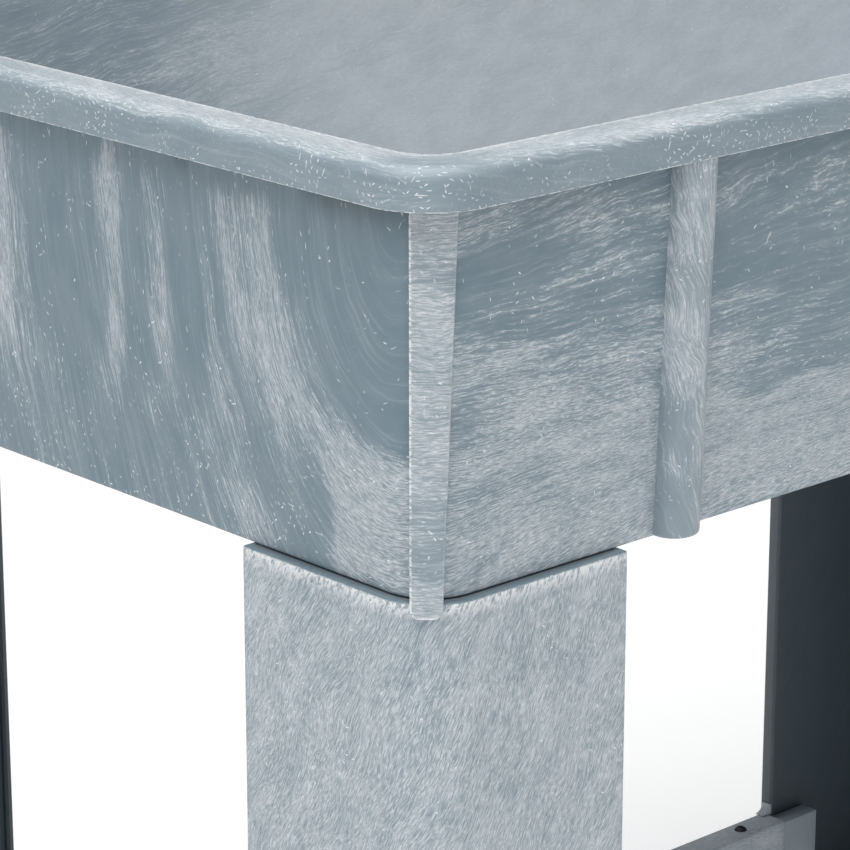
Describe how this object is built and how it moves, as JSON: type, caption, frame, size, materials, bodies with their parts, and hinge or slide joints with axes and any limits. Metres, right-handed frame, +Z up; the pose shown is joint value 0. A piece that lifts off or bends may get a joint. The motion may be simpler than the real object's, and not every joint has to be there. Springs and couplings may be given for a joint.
{
  "type": "raised planter on legs",
  "caption": "Deep rectangular planting tray with a rolled rim, corner beads and wall ribs, on tall L-section corner legs joined at the feet by rails.",
  "frame": {"origin": "on the floor, under the centre of the tray", "axes": "+X along the long side to the right, +Y from the front long side to the back one, +Z up"},
  "size_m": [1, 0.565, 0.8],
  "materials": {
    "zinc_plastic": "blue-grey and pale grey swirl, fine pale flecks, satin",
    "screw_steel": "dark coated",
    "plug_plastic": "satin",
    "seal_rubber": "matt"
  },
  "bodies": {
    "planter": {"planter_tray": "zinc_plastic", "leg_front_left": "zinc_plastic", "leg_front_right": "zinc_plastic", "leg_back_left": "zinc_plastic", "leg_back_right": "zinc_plastic", "rail_front": "zinc_plastic", "rail_back": "zinc_plastic", "tray_screws": "screw_steel", "rail_screws": "screw_steel"},
    "left_plug": {"drain_plug_left": "plug_plastic", "plug_seal_left": "seal_rubber"},
    "right_plug": {"drain_plug_right": "plug_plastic", "plug_seal_right": "seal_rubber"}
  },
  "joints": [
    {"name": "left_plug_pull", "type": "slide", "parent": "planter", "child": "left_plug", "axis": [0, 0, -1], "range_m": [0, 0.03]},
    {"name": "right_plug_pull", "type": "slide", "parent": "planter", "child": "right_plug", "axis": [0, 0, -1], "range_m": [0, 0.03]}
  ]
}
